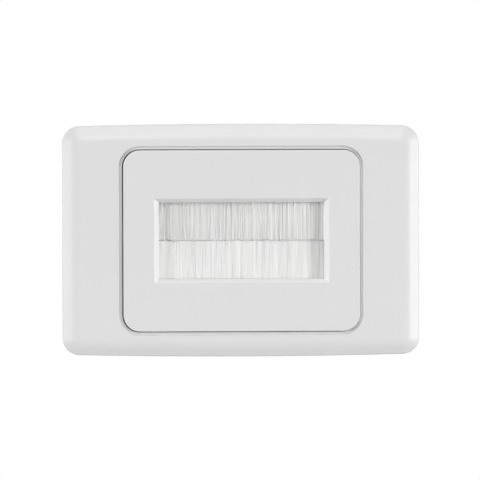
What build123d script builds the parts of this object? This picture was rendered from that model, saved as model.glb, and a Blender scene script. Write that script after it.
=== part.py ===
from build123d import *
import os
import random

os.makedirs("parts", exist_ok=True)

# Brush wall plate: a clip-on cover over a screwed-on base, with two strip brushes behind the base's window.
# The wall is the plane y = 0, the room is towards -Y, +X is to the right and +Z is up. The origin lies
# midway between the two wall screws. A "level" is a distance from the wall towards the room.

# Wall screws, whose centres are the standard of the wall boxes and brackets
screw_pitch = 84.0
slot_width = 4.2
slot_length = 6.2
slot_boss_wall = 2.4
head_relief_radius = 4.2

# Panel: the raised middle of the base
panel_setback = 3.65  # from a wall screw's centre in to the panel's end
panel_band = 16.9  # from the window's long edge out to the panel's
panel_corner = 5.4
panel_thickness = 2.2
panel_edge = 0.4
panel_side_wall = 2.0

# Cover: outline, rolled rim and wall
cover_reach = 16.0  # from a wall screw's centre out to the cover's end
cover_band = 8.35  # from the panel's long edge out to the cover's
cover_bow = 0.75  # how far the long edges swell at their middles
cover_corner = 5.6
cover_foot = 0.4
cover_wall = 2.0
panel_proud = 0.4  # how far the panel stands in front of the cover's face
rim_width = 3.8
rim_drop = 2.05
rim_crease_radius = 5.0
rim_edge_radius = 1.0
cover_play = 0.17  # the cover is clipped on this far to the left
opening_gap = 0.21  # between the panel and the cover's opening
ledge_width = 1.0
ledge_depth = 0.8
ledge_edge = 0.2
collar_wall = 1.4
collar_foot = 6.6
pry_notch_width = 9.0
pry_notch_height = 1.4

# Base: deck and skirt round the panel
base_clearance = 0.6  # to the inside of the cover
base_corner = 3.0
base_wall = 1.8
base_edge = 0.5
deck_front = 4.0
deck_thickness = 2.0
rib_thickness = 1.2
rib_foot = 0.6
side_rib_rise = 20.0
end_rib_reach = 40.0

# Snap catches and the rests that set the cover's depth
catch_width = 7.0
catch_rear = 0.9
catch_front = 2.5
catch_grip = 0.8
catch_clearance = 0.22
catch_spacing = 52.0
rest_thickness = 1.2
rest_length = 5.0
rest_offset = 4.0  # from a wall screw's centre out to the end rests
rest_rise = 18.0
rest_side_spacing = 30.0

# Window in the panel
window_height = 25.0
bevel_side = 1.55
bevel_end = 1.25
bevel_depth = 1.4
window_rib_wall = 0.7
window_rib_depth = 0.85

# Strip brushes: a folded metal channel crimped on filaments that are doubled over a core wire
brush_setback = 3.5  # from a clamp screw's centre in to the brush's end
brush_overlap = 2.65  # how far the brush runs on behind the panel at each end of the window
channel_height = 4.6
channel_depth = 4.0
channel_mouth_depth = 3.1
channel_metal = 0.55
channel_bend_radius = 0.9
crimp_height = 1.3
crimp_slope = 0.8
mouth_setback = 0.8  # from the window's edge to the channel's mouth
core_wire_diameter = 1.2
filament_clearance = 0.05
fan_depth = 1.9
tip_line = 0.3  # where the rows meet, above the window's middle
tip_gap = 0.1
tip_unevenness = 0.25
layer_step = 0.7  # the upper row's back layer hangs this much lower than its front layer
front_lock_pitch = 1.0
back_lock_pitch = 2.0
lock_slit = 0.24
lock_lean = 0.4  # most that a lock leans at its tip, as a share of the slit beside it
lock_root = 0.5

# Clamp bars, their bosses and their screws
bar_wall_gap = 1.8  # from the wall to the bar
bar_end_clearance = 0.75  # from the bar's end to the panel's side wall
bar_thickness = 2.4
bar_groove_depth = 0.4
bar_groove_clearance = 0.1
bar_margin = 0.4
bar_chamfer = 0.5
bar_core_count = 5
bar_core_depth = 1.2
bar_core_wall = 1.0
rail_wall = 1.2
rail_foot = 4.6
rail_length = 48.0
boss_radius = 2.6
pilot_radius = 1.05
pilot_end_wall = 0.4
screw_radius = 1.0
screw_head_radius = 2.1
screw_head_height = 1.5
screw_head_bevel = 0.5
screw_end_clearance = 0.4
screw_recess_span = 2.0
screw_recess_width = 0.5
screw_recess_depth = 0.9

# Widths follow from the wall screws, heights from the window, and depths from what lies behind the panel
panel_width = screw_pitch - 2 * panel_setback
panel_height = window_height + 2 * panel_band
cover_width = screw_pitch + 2 * cover_reach
cover_height = panel_height + 2 * cover_band
base_width = cover_width - 2 * (cover_wall + base_clearance)
base_height = cover_height - 2 * (cover_bow + cover_wall + base_clearance)
opening_width = panel_width + 2 * opening_gap
opening_height = panel_height + 2 * opening_gap
opening_corner = panel_corner + opening_gap
bar_length = panel_width - 2 * (panel_side_wall + bar_end_clearance)
bar_height = channel_height + 2 * bar_margin
screw_spacing = bar_length - 2 * boss_radius
brush_length = screw_spacing - 2 * brush_setback
window_width = brush_length - 2 * brush_overlap
mouth_rise = window_height / 2 + mouth_setback
back_rise = mouth_rise + channel_height
brush_rise = mouth_rise + channel_height / 2
bar_rear = bar_wall_gap
bar_front = bar_rear + bar_thickness
channel_rear = bar_front - bar_groove_depth
brush_level = channel_rear + channel_depth / 2
panel_rear = channel_rear + channel_depth
panel_face = panel_rear + panel_thickness
cover_face = panel_face - panel_proud
cover_ceiling = cover_face - cover_wall
rim_slope = rim_drop / rim_width
deck_rear = deck_front - deck_thickness
pilot_end = panel_rear - pilot_end_wall
screw_length = pilot_end - screw_end_clearance - bar_rear


def level(distance):
    """The drawing plane parallel to the wall at this distance from it: x to the right, y up."""
    return Plane.XZ.offset(distance)


def prism(drawing, low, high):
    """Extrude a drawing from one level to another."""
    return extrude(level(low) * drawing, high - low)


def rounded(width, height, corner):
    return RectangleRounded(width, height, corner)


def edges_at(solid, distance):
    """The edges that lie flat at this level."""
    return solid.edges().filter_by_position(Axis.Y, -distance, -distance)


def cover_outline():
    """A rectangle with round corners whose long edges swell outwards at their middles."""
    right = cover_width / 2
    top = cover_height / 2
    corner_rise = top - cover_bow
    upper = ThreePointArc((-right, corner_rise), (0, top), (right, corner_rise))
    lower = ThreePointArc((right, -corner_rise), (0, -top), (-right, -corner_rise))
    outline = make_face([upper, Line(upper @ 1, lower @ 0), lower, Line(lower @ 1, upper @ 0)])
    return fillet(outline.vertices(), cover_corner)


def cover_inside_rise(x):
    """How high above the middle the inside of the cover's top wall lies at x."""
    sag = cover_bow * (2 * x / cover_width) ** 2
    return cover_height / 2 - cover_wall - sag


def catch_places():
    """Where the snap catches are: middle of each end, and two along each long side.

    Each is (turn, offset along the side, reach to the base's skirt, reach to the cover's wall).
    """
    places = []
    for turn in (0, 180):
        places.append((turn, 0.0, base_width / 2, cover_width / 2 - cover_wall))
    for turn in (90, 270):
        for offset in (-catch_spacing / 2, catch_spacing / 2):
            places.append((turn, offset, base_height / 2, cover_inside_rise(offset)))
    return places


def catch(turn, offset, skirt_reach, wall_reach):
    """A wedge on the cover's wall that hooks behind the base's skirt, ramped on the wall's side."""
    tip = skirt_reach - catch_grip
    root = wall_reach + cover_wall / 2
    ramp = (catch_front - catch_rear) / 2
    side = Polyline(
        (tip, catch_front),
        (root, catch_front),
        (root, catch_rear),
        (wall_reach, catch_rear),
        (tip, catch_rear + ramp),
        close=True,
    )
    across = Plane(origin=(0, 0, -catch_width / 2), x_dir=(1, 0, 0), z_dir=(0, 0, 1))
    wedge = extrude(across * mirror(make_face(side), about=Plane.XZ), catch_width)
    return Rot(0, -turn, 0) * Pos(0, 0, offset) * wedge


def catch_pocket(turn, offset, skirt_reach):
    """The notch in the base's skirt that a catch hooks into, open towards the wall."""
    depth = catch_grip + catch_clearance
    width = catch_width + 4 * catch_clearance
    height = catch_front + catch_clearance
    block = Box(2 * depth, 2 * height, width)
    return Rot(0, -turn, 0) * Pos(skirt_reach, 0, offset) * block


def cover_rests():
    """Ribs under the cover's face that stand on the base's deck."""
    end_rest = Rectangle(rest_thickness, rest_length)
    side_rest = Rectangle(rest_length, rest_thickness)
    side_rise = (opening_height / 2 + collar_wall + base_height / 2) / 2
    drawings = []
    for side in (-1, 1):
        for up in (-1, 1):
            drawings.append(Pos(side * (screw_pitch / 2 + rest_offset), up * rest_rise) * end_rest)
            drawings.append(Pos(side * rest_side_spacing / 2, up * side_rise) * side_rest)
    return [prism(drawing, deck_front, cover_ceiling + cover_wall / 4) for drawing in drawings]


def make_cover():
    """The moulded surround: bowed outline, rolled rim, ledged opening, catches and rests."""
    outline = cover_outline()
    shell = prism(outline, cover_foot, cover_face)
    front = shell.faces().sort_by(Axis.Y)[0]
    shell = chamfer(front.edges(), rim_width, rim_drop, reference=front)
    shell = fillet(edges_at(shell, cover_face), rim_crease_radius)
    shell = fillet(edges_at(shell, cover_face - rim_drop), rim_edge_radius)

    cavity = prism(offset(outline, -cover_wall), cover_foot, cover_ceiling)
    ceiling = cavity.faces().sort_by(Axis.Y)[0]
    cavity_rim = rim_width - cover_wall
    cavity = chamfer(ceiling.edges(), cavity_rim, cavity_rim * rim_slope, reference=ceiling)
    shell -= cavity

    opening = rounded(opening_width, opening_height, opening_corner)
    collar = rounded(
        opening_width + 2 * collar_wall, opening_height + 2 * collar_wall, opening_corner + collar_wall
    )
    ledge = rounded(
        opening_width + 2 * ledge_width, opening_height + 2 * ledge_width, opening_corner + ledge_width
    )
    shell += prism(collar, collar_foot, cover_ceiling + cover_wall / 4)
    shell -= prism(opening, collar_foot, cover_face)
    shell -= prism(ledge, cover_face - ledge_depth, cover_face)
    rim_of_ledge = edges_at(shell, cover_face).filter_by(
        lambda edge: abs((edge @ 0.5).X) < opening_width / 2 + 2 * ledge_width
        and abs((edge @ 0.5).Z) < opening_height / 2 + 2 * ledge_width
    )
    shell = chamfer(rim_of_ledge, ledge_edge)

    for piece in [catch(*place) for place in catch_places()] + cover_rests():
        shell += piece
    pry_notch = Box(pry_notch_width, 2 * pry_notch_height, 2 * (cover_wall + cover_bow))
    shell -= Pos(0, -cover_foot, -cover_height / 2) * pry_notch
    return Pos(-cover_play, 0, 0) * shell


def deck_ribs():
    """Stiffening ribs behind the deck, from the panel's side walls out to the skirt."""
    inner_x = panel_width / 2 - panel_side_wall / 2
    outer_x = base_width / 2 - base_wall / 2
    inner_z = panel_height / 2 - panel_side_wall / 2
    outer_z = base_height / 2 - base_wall / 2
    side_rib = Rectangle(outer_x - inner_x, rib_thickness)
    end_rib = Rectangle(rib_thickness, outer_z - inner_z)
    drawings = []
    for side in (-1, 1):
        for z in (-side_rib_rise, 0, side_rib_rise):
            drawings.append(Pos(side * (inner_x + outer_x) / 2, z) * side_rib)
        for x in (-end_rib_reach / 2, end_rib_reach / 2):
            drawings.append(Pos(x, side * (inner_z + outer_z) / 2) * end_rib)
    return [prism(drawing, rib_foot, deck_front - deck_thickness / 2) for drawing in drawings]


def make_base():
    """The moulded base: skirt, deck and raised panel in one wall, with window, bosses and rails."""
    skirt = rounded(base_width, base_height, base_corner)
    panel = rounded(panel_width, panel_height, panel_corner)
    deck = prism(skirt, 0, deck_front)
    deck = chamfer(edges_at(deck, deck_front), base_edge)
    deck -= prism(offset(skirt, -base_wall), 0, deck_rear)
    raised = prism(panel, 0, panel_face)
    raised = chamfer(edges_at(raised, panel_face), panel_edge)
    base = deck + raised
    base += deck_ribs()

    slot = SlotOverall(slot_length, slot_width)
    slot_boss = Rectangle(slot_length + 2 * slot_boss_wall, slot_width + 2 * slot_boss_wall)
    screw_places = [Pos(x, 0) for x in (-screw_pitch / 2, screw_pitch / 2)]
    base += [prism(place * slot_boss, 0, deck_front - deck_thickness / 2) for place in screw_places]
    base -= [prism(place * slot, 0, deck_front) for place in screw_places]
    base -= [prism(place * Circle(head_relief_radius), deck_front, collar_foot) for place in screw_places]

    hollow_width = panel_width - 2 * panel_side_wall
    hollow_height = panel_height - 2 * panel_side_wall
    hollow = rounded(hollow_width, hollow_height, panel_corner - panel_side_wall)
    base -= prism(hollow, 0, panel_rear)

    window = Rectangle(window_width, window_height)
    window_rib = Rectangle(window_width + 2 * window_rib_wall, window_height + 2 * window_rib_wall)
    base += prism(window_rib, panel_rear - window_rib_depth, panel_rear + panel_thickness / 4)
    base -= prism(window, panel_rear - window_rib_depth, panel_face)
    bevel_mouth = Rectangle(window_width + 2 * bevel_side, window_height + 2 * bevel_end)
    base -= loft([level(panel_face - bevel_depth) * window, level(panel_face) * bevel_mouth], ruled=True)

    boss = Circle(boss_radius)
    pilot = Circle(pilot_radius)
    rail = Rectangle(rail_length, rail_wall)
    for side in (-1, 1):
        rail_place = Pos(0, side * (back_rise + bar_groove_clearance + rail_wall / 2))
        base += prism(rail_place * rail, rail_foot, panel_rear + panel_thickness / 4)
        for x in (-screw_spacing / 2, screw_spacing / 2):
            boss_place = Pos(x, side * brush_rise)
            base += prism(boss_place * boss, bar_front, panel_rear + panel_thickness / 4)
            base -= prism(boss_place * pilot, bar_front, pilot_end)

    base -= [catch_pocket(turn, along, skirt_reach) for turn, along, skirt_reach, _ in catch_places()]
    return base


def along_brush(section):
    """Extrude a brush section over the brush's length. It is drawn with x up and y towards the room."""
    across = Plane(origin=(-brush_length / 2, -brush_level, 0), x_dir=(0, 0, 1), z_dir=(1, 0, 0))
    return extrude(across * section, brush_length)


def mirrored_face(*points):
    """A face from the points of one half of an outline and their mirror images below y = 0."""
    lower_half = [(x, -y) for x, y in reversed(points)]
    return make_face(Polyline(*points, *lower_half, close=True))


def make_upper_channel():
    """The folded metal strip of the upper brush, open downwards, with its legs crimped together."""
    outer = mirrored_face(
        (mouth_rise, channel_mouth_depth / 2),
        (mouth_rise + crimp_height, channel_mouth_depth / 2),
        (mouth_rise + crimp_height + crimp_slope, channel_depth / 2),
        (back_rise, channel_depth / 2),
    )
    inner = mirrored_face(
        (mouth_rise, channel_mouth_depth / 2 - channel_metal),
        (mouth_rise + crimp_height, channel_mouth_depth / 2 - channel_metal),
        (mouth_rise + crimp_height + crimp_slope, channel_depth / 2 - channel_metal),
        (back_rise - channel_metal, channel_depth / 2 - channel_metal),
    )
    outer = fillet(outer.vertices().group_by(Axis.X)[-1], channel_bend_radius)
    inner = fillet(inner.vertices().group_by(Axis.X)[-1], channel_bend_radius - channel_metal)
    return along_brush(outer - inner)


def core_wire_rise():
    """Height of the core wire: as deep in the channel as the filaments folded over it let it lie."""
    fold = (channel_depth - core_wire_diameter) / 2 - channel_metal
    return back_rise - channel_metal - fold - core_wire_diameter / 2


def make_upper_core_wire():
    return along_brush(Pos(core_wire_rise(), 0) * Circle(core_wire_diameter / 2))


def turned_over(piece):
    """The piece turned half round on the wall, which takes an upper brush's piece to the lower brush."""
    return Rot(0, 180, 0) * piece


def lock_comb(tips, lock_pitch, stagger, draw):
    """Locks of filaments side by side, as one drawing: x along the brush, y up, tips at the bottom.

    stagger moves the slits between the locks along by that share of a lock.
    """
    count = round(brush_length / lock_pitch)
    pitch = brush_length / count
    left = -brush_length / 2
    right = brush_length / 2
    splits = [left + (number + stagger) * pitch for number in range(1, count)]
    points = [(left, mouth_rise)]
    for start, finish in zip([left] + splits, splits + [right]):
        lean = draw.uniform(-lock_lean, lock_lean) * lock_slit
        tip = tips + draw.uniform(0, tip_unevenness)
        tip_start = left if start == left else start + lock_slit / 2 + lean
        tip_finish = right if finish == right else finish - lock_slit / 2 + lean
        points += [(tip_start, tip), (tip_finish, tip)]
        if finish != right:
            points.append((finish, mouth_rise - lock_root))
    points.append((right, mouth_rise))
    return make_face(Polyline(*points, close=True))


def make_bristles(front_tips, back_tips, seed):
    """Filaments doubled over the core wire, then hanging in two staggered layers of locks."""
    grip = channel_mouth_depth / 2 - channel_metal
    belly = channel_depth / 2 - channel_metal - filament_clearance
    fold = mirrored_face(
        (mouth_rise, grip),
        (mouth_rise + crimp_height, grip),
        (mouth_rise + crimp_height + crimp_slope, belly),
        (back_rise - channel_metal - filament_clearance, belly),
    )
    fold = fillet(fold.vertices().group_by(Axis.X)[-1], channel_bend_radius - channel_metal)
    wire_hole = Pos(core_wire_rise(), 0) * Circle(core_wire_diameter / 2 + filament_clearance)
    bristles = along_brush(fold - wire_hole)
    draw = random.Random(seed)
    front = lock_comb(front_tips, front_lock_pitch, 0, draw)
    back = lock_comb(back_tips, back_lock_pitch, -1 / 4, draw)
    bristles += prism(front, brush_level, brush_level + fan_depth / 2)
    bristles += prism(back, brush_level - fan_depth / 2, brush_level)
    return bristles


def make_upper_bristles():
    """The upper row, whose front layer ends just above the meeting line."""
    tips = tip_line + tip_gap / 2
    return make_bristles(tips, tips - layer_step, seed=5)


def make_lower_bristles():
    """The lower row, made hanging like the upper one and turned over."""
    tips = tip_gap / 2 - tip_line
    return turned_over(make_bristles(tips, tips + layer_step, seed=8))


def make_upper_clamp_bar():
    """A moulded bar that holds the brush's channel against the back of the panel."""
    bar = prism(Pos(0, brush_rise) * Rectangle(bar_length, bar_height), bar_rear, bar_front)
    bar = chamfer(edges_at(bar, bar_rear), bar_chamfer)
    groove = Rectangle(brush_length + 2 * bar_groove_clearance, channel_height + 2 * bar_groove_clearance)
    bar -= prism(Pos(0, brush_rise) * groove, channel_rear, bar_front)
    for x in (-screw_spacing / 2, screw_spacing / 2):
        bar -= prism(Pos(x, brush_rise) * Circle(pilot_radius), bar_rear, bar_front)
    core_pitch = (screw_spacing - 2 * screw_head_radius - bar_core_wall) / bar_core_count
    core = Rectangle(core_pitch - bar_core_wall, bar_height - 2 * bar_core_wall)
    for number in range(bar_core_count):
        x = (number - (bar_core_count - 1) / 2) * core_pitch
        bar -= prism(Pos(x, brush_rise) * core, bar_rear, bar_rear + bar_core_depth)
    return bar


def make_clamp_screw():
    """A blunt pan-head screw for plastic on the origin, its head's seat at z = 0 and its shank upwards."""
    profile = Polyline(
        (0, -screw_head_height),
        (screw_head_radius - screw_head_bevel, -screw_head_height),
        (screw_head_radius, screw_head_bevel - screw_head_height),
        (screw_head_radius, 0),
        (screw_radius, 0),
        (screw_radius, screw_length),
        (0, screw_length),
        close=True,
    )
    screw = revolve(Plane.XZ * make_face(profile), Axis.Z)
    recess = Box(screw_recess_span, screw_recess_width, 2 * screw_recess_depth)
    recess += Rot(0, 0, 90) * recess
    return screw - Pos(0, 0, -screw_head_height) * recess


def make_clamp_screws():
    screw = make_clamp_screw()
    places = [(x, z) for x in (-screw_spacing / 2, screw_spacing / 2) for z in (-brush_rise, brush_rise)]
    return Compound([level(bar_rear) * Pos(x, z) * screw for x, z in places])


upper_channel = make_upper_channel()
upper_core_wire = make_upper_core_wire()
upper_clamp_bar = make_upper_clamp_bar()

pieces = {
    "surround_cover": make_cover(),
    "base_plate": make_base(),
    "upper_brush_channel": upper_channel,
    "lower_brush_channel": turned_over(upper_channel),
    "upper_core_wire": upper_core_wire,
    "lower_core_wire": turned_over(upper_core_wire),
    "upper_bristles": make_upper_bristles(),
    "lower_bristles": make_lower_bristles(),
    "upper_clamp_bar": upper_clamp_bar,
    "lower_clamp_bar": turned_over(upper_clamp_bar),
    "clamp_screws": make_clamp_screws(),
}

for node, piece in pieces.items():
    export_step(piece, f"parts/{node}.step")
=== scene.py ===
"""A white brush wall plate: a clip-on cover round a raised panel with a window that bristles close.

Lengths are in metres. The wall is the plane y = 0, the room is towards -Y and +Z is up. A "level" is a
distance from the wall towards the room.
"""

import math
from types import SimpleNamespace

import bmesh
import bpy
from bpy.props import FloatProperty, FloatVectorProperty, IntProperty, PointerProperty
from mathutils import Matrix, Vector


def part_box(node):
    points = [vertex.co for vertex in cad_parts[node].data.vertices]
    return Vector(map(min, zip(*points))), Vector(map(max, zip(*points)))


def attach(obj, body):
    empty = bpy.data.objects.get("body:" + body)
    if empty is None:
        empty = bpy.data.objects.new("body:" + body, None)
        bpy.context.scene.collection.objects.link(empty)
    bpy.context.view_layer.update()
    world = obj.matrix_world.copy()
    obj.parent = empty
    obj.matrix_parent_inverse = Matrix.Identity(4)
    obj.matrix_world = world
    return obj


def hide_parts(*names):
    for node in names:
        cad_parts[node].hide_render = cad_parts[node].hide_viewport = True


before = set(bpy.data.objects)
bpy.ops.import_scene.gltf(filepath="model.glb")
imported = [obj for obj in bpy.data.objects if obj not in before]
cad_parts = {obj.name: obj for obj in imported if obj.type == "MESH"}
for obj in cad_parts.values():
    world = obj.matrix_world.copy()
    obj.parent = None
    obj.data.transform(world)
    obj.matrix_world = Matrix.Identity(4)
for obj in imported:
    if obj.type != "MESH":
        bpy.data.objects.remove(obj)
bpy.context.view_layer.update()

bl_info = {
    "name": "Brush Wall Plate",
    "version": (1, 0, 0),
    "blender": (4, 5, 0),
    "location": "3D View > Sidebar > Wall Plate",
    "description": "Builds a white brush wall plate piece by piece",
    "category": "Object",
}

MM = 0.001
BODY = "root"
SIDE_STEPS = 3
CORNER_STEPS = 16
EDGE_STEPS = 10
ARC_STEPS = 8
SMALL_ARC_STEPS = 4
SHARPEST = 0.05 * MM
WELD = 0.001 * MM
SEEN_RAYS = ("Is Camera Ray", "Is Glossy Ray", "Is Transmission Ray")
FILAMENT_POINTS = 19  # five over the core wire and seven down each leg
SHADE_MARGIN = 0.25 * MM  # a narrow flat band beside each rounded edge keeps the face beyond it flat
BAND_SHARE = 0.15  # the largest part of a side that such a band takes
CUT_MARGIN = 1.0 * MM  # how far a cutter reaches past the face that it opens
FLAT_RUN = 1.0 * MM  # how far a profile runs on a face before its edge
SHORT_RUN = 0.6 * MM  # the same beside the opening
SINK = 0.25  # how deep a rib's end reaches into a wall, as a part of the wall
NOTCH_REACH = 1.4  # how far the pry notch reaches in, in walls
LARGE_RADIUS = 0.5 * MM  # a rounding wider than this has ARC_STEPS
LEAST_TURN = math.radians(5)
FLAT_ANGLE = math.radians(1)
SMOOTH_ANGLE = math.radians(30)
BEVEL_ANGLE = math.radians(40)
LEVEL = 4  # where the five numbers of a profile's corner hold its level
ROD_SIDES = 40
TUBE_SIDES = 3
THREAD_STEPS = 24
FLOOR_SIDES = 96
FOLD_STEPS = 2.0  # steps from a filament's middle to the side of the core wire
MOUTH_STEPS = 2.0  # steps from there to the channel's mouth
CLUMP_DEPTH = 0.8 * MM  # distance from a row's inside to its outside in the clumps' noise
CLUMP_SHIFT = 0.01  # how far each seed moves that noise
CLUMP_ENDS = 3.0  # how unevenly clumps end, against single tips
WAVE_STEP = 0.37  # distance from one leg to the next in the waves' noise
WAVE_RATE = 260.0  # how fast that noise changes with height
SWAY = 0.25  # how far most tips stray, as a part of the setting
WILD = 4.0  # how far the few wildest stray
DRAWS = 16  # seeds kept for one row
PAN_HEAD = ((1.0, 0.55), (0.93, 0.8), (0.7, 1.0))  # radius and height of a pan head's steps, as parts
CORE_OVERLAP = 0.1 * MM  # how far a screw's core reaches into its head
STRIP_EDGE = 0.06 * MM
WIRE_EDGE = 0.1 * MM
FADE_START = 0.45  # where the floor begins to fade, as a part of its radius
WIDE_LIGHT = (0.5, 0.25)
TALL_LIGHT = (0.25, 0.5)
SQUARE_LIGHT = (0.4, 0.4)
FLOOR_COLOUR = (0.86, 0.86, 0.86, 1.0)
WHITE = (1.0, 1.0, 1.0, 1.0)


def span(node, axis):
    """Size of a frame node along an axis."""
    low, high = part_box(node)
    return high[axis] - low[axis]


def middle_of(node):
    """Middle of a frame node's box."""
    low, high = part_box(node)
    return (low + high) / 2


def nearest_level(node):
    """Distance from the wall to the front of a frame node."""
    return -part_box(node)[0].y


def farthest_level(node):
    """Distance from the wall to the back of a frame node."""
    return -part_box(node)[1].y


# Sizes and finishes that a user would change


def mm(name, description, millimetres):
    return FloatProperty(
        name=name, description=description, default=millimetres * MM, min=0.0, precision=5, unit="LENGTH"
    )


def share(name, description, value):
    return FloatProperty(
        name=name, description=description, default=value, min=0.0, max=1.0, subtype="FACTOR"
    )


def angle(name, description, degrees):
    return FloatProperty(name=name, description=description, default=math.radians(degrees), subtype="ANGLE")


def watts(name, description, value):
    return FloatProperty(name=name, description=description, default=value, min=0.0)


def colour(name, description, value):
    return FloatVectorProperty(
        name=name, description=description, default=value, size=3, min=0.0, max=1.0, subtype="COLOR"
    )


class CoverSettings(bpy.types.PropertyGroup):
    bow: mm("Bow", "How far the long edges swell at their middles", 0.75)
    corner: mm("Corner", "Radius of the outline's corners", 5.6)
    wall: mm("Wall", "Thickness of the moulding", 2.0)
    rim_width: mm("Rim width", "Width of the sloping rim", 3.7)
    end_rim_width: mm("End rim width", "Width of the sloping rim at the plate's ends", 4.4)
    rim_drop: mm("Rim drop", "How far the rim falls back", 2.05)
    crease_radius: mm("Crease radius", "Radius between the face and the rim", 8.0)
    edge_radius: mm("Edge radius", "Radius between the rim and the side wall", 1.0)
    opening_gap: mm("Opening gap", "Gap between the panel and the opening", 0.26)
    ledge_width: mm("Ledge width", "Width of the ledge round the opening", 1.0)
    ledge_depth: mm("Ledge depth", "Depth of the ledge round the opening", 0.95)
    ledge_edge: mm("Ledge edge", "Radius of the ledge's outer edge", 0.2)
    small_edge: mm("Small edges", "Radius of the opening's and the foot's edges", 0.12)
    collar_wall: mm("Collar wall", "Thickness of the collar behind the opening", 1.4)
    collar_foot: mm("Collar foot", "Level of the collar's rear end", 6.6)
    catch_width: mm("Catch width", "Width of a snap catch", 7.0)
    catch_rear: mm("Catch rear", "Level of a catch's rear end", 0.9)
    catch_front: mm("Catch front", "Level of a catch's front end", 2.5)
    catch_grip: mm("Catch grip", "How far a catch reaches behind the base's skirt", 0.8)
    catch_spacing: mm("Catch spacing", "Distance between the catches on a long side", 52.0)
    rest_thickness: mm("Rest thickness", "Thickness of a rest", 1.2)
    rest_length: mm("Rest length", "Length of a rest", 5.0)
    end_rest_reach: mm("End rest reach", "Distance of the end rests from the middle", 46.0)
    end_rest_rise: mm("End rest rise", "Height of the end rests above the middle", 18.0)
    side_rest_spacing: mm("Side rest spacing", "Distance between the rests on a long side", 30.0)
    notch_width: mm("Notch width", "Width of the pry notch", 9.0)
    notch_height: mm("Notch height", "Height of the pry notch", 1.4)


class BaseSettings(bpy.types.PropertyGroup):
    panel_width: mm("Panel width", "Width of the raised panel", 76.7)
    panel_height: mm("Panel height", "Height of the raised panel", 58.8)
    panel_corner: mm("Panel corner", "Radius of the panel's corners", 5.4)
    panel_edge: mm("Panel edge", "Radius of the panel's front edge", 0.25)
    panel_thickness: mm("Panel thickness", "Thickness of the panel", 2.2)
    panel_side_wall: mm("Panel side wall", "Thickness of the panel's side walls", 2.0)
    wall: mm("Skirt wall", "Thickness of the base's skirt", 1.8)
    corner: mm("Skirt corner", "Radius of the skirt's corners", 3.0)
    edge: mm("Deck edge", "Bevel of the deck's front edge", 0.5)
    deck_front: mm("Deck front", "Level of the deck's front", 4.0)
    deck_thickness: mm("Deck thickness", "Thickness of the deck", 2.0)
    window_width: mm("Window width", "Width of the window", 53.7)
    window_height: mm("Window height", "Height of the window", 25.0)
    bevel_side: mm("Side bevel", "Width of the bevel at the window's ends", 1.55)
    bevel_end: mm("Long bevel", "Width of the bevel along the window", 1.25)
    bevel_depth: mm("Bevel depth", "Depth of the bevel", 1.4)
    bevel_edge: mm("Bevel edge", "Radius of the bevel's edges", 0.1)
    window_rib_wall: mm("Window rib wall", "Thickness of the rib behind the window", 0.7)
    window_rib_depth: mm("Window rib depth", "Depth of the rib behind the window", 0.85)
    rib_thickness: mm("Rib thickness", "Thickness of the deck's ribs", 1.2)
    rib_foot: mm("Rib foot", "Level of the ribs' rear ends", 0.6)
    side_rib_pitch: mm("Side rib pitch", "Distance between the ribs beside the panel", 20.0)
    end_rib_spacing: mm("End rib spacing", "Distance between the ribs above the panel", 40.0)
    screw_pitch: mm("Wall screw pitch", "Distance between the wall screws", 84.0)
    slot_width: mm("Slot width", "Width of a wall screw's slot", 4.2)
    slot_length: mm("Slot length", "Length of a wall screw's slot", 6.2)
    slot_boss_wall: mm("Slot boss wall", "Wall round a wall screw's slot", 2.4)
    head_relief: mm("Head relief", "Radius cleared for a wall screw's head", 4.2)
    boss_radius: mm("Boss radius", "Radius of a clamp screw's boss", 2.6)
    pilot_radius: mm("Pilot radius", "Radius of a clamp screw's hole", 1.05)
    pilot_end: mm("Pilot end", "Level of the holes' ends", 7.4)
    rail_wall: mm("Rail wall", "Thickness of the rail beside a brush", 1.2)
    rail_foot: mm("Rail foot", "Level of the rails' rear ends", 4.6)
    rail_length: mm("Rail length", "Length of a rail", 48.0)
    catch_clearance: mm("Catch clearance", "Room round a snap catch", 0.22)


class BrushSettings(bpy.types.PropertyGroup):
    filaments: IntProperty(name="Filaments", description="Doubled filaments in a row", default=1200, min=1)
    filament_radius: mm("Filament radius", "Radius of a filament", 0.1)
    fan_depth: mm("Fan depth", "Depth of a row in the window", 1.9)
    fold_radius: mm("Fold radius", "Widest fold over the core wire", 1.3)
    tip_line: mm("Meeting line", "Height at which the rows meet", 0.1)
    layer_step: mm("Layer step", "How much lower the upper row's back half ends", 0.7)
    unevenness: mm("Unevenness", "How unevenly the tips end", 0.3)
    clump_pitch: mm("Clump pitch", "Distance from one clump to the next", 1.5)
    clump_pull: mm("Clump pull", "How far the tips are drawn into clumps", 0.2)
    stray: mm("Stray", "How far single tips stray", 0.4)
    wave: mm("Wave", "How far the filaments wave", 0.08)
    upper_lean: mm("Upper lean", "How far the upper row's tips lean back", 0.2)
    lower_lean: mm("Lower lean", "How far the lower row's tips lean back", 0.7)
    lower_calm: share("Lower calm", "How much of the upper row's disorder the lower row has", 0.45)
    upper_spread: share("Upper spread", "How evenly the upper row fills its depth", 0.5)
    lower_spread: share("Lower spread", "How evenly the lower row fills its depth", 0.25)
    wire_clearance: mm("Wire clearance", "Room between the filaments and the core wire", 0.05)
    seed: IntProperty(name="Seed", description="Seed of the random draws", default=5, min=0)


class BarSettings(bpy.types.PropertyGroup):
    groove_clearance: mm("Groove clearance", "Room round the channel in its groove", 0.1)
    edge_radius: mm("Edge radius", "Radius of the moulded edges", 0.12)


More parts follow.
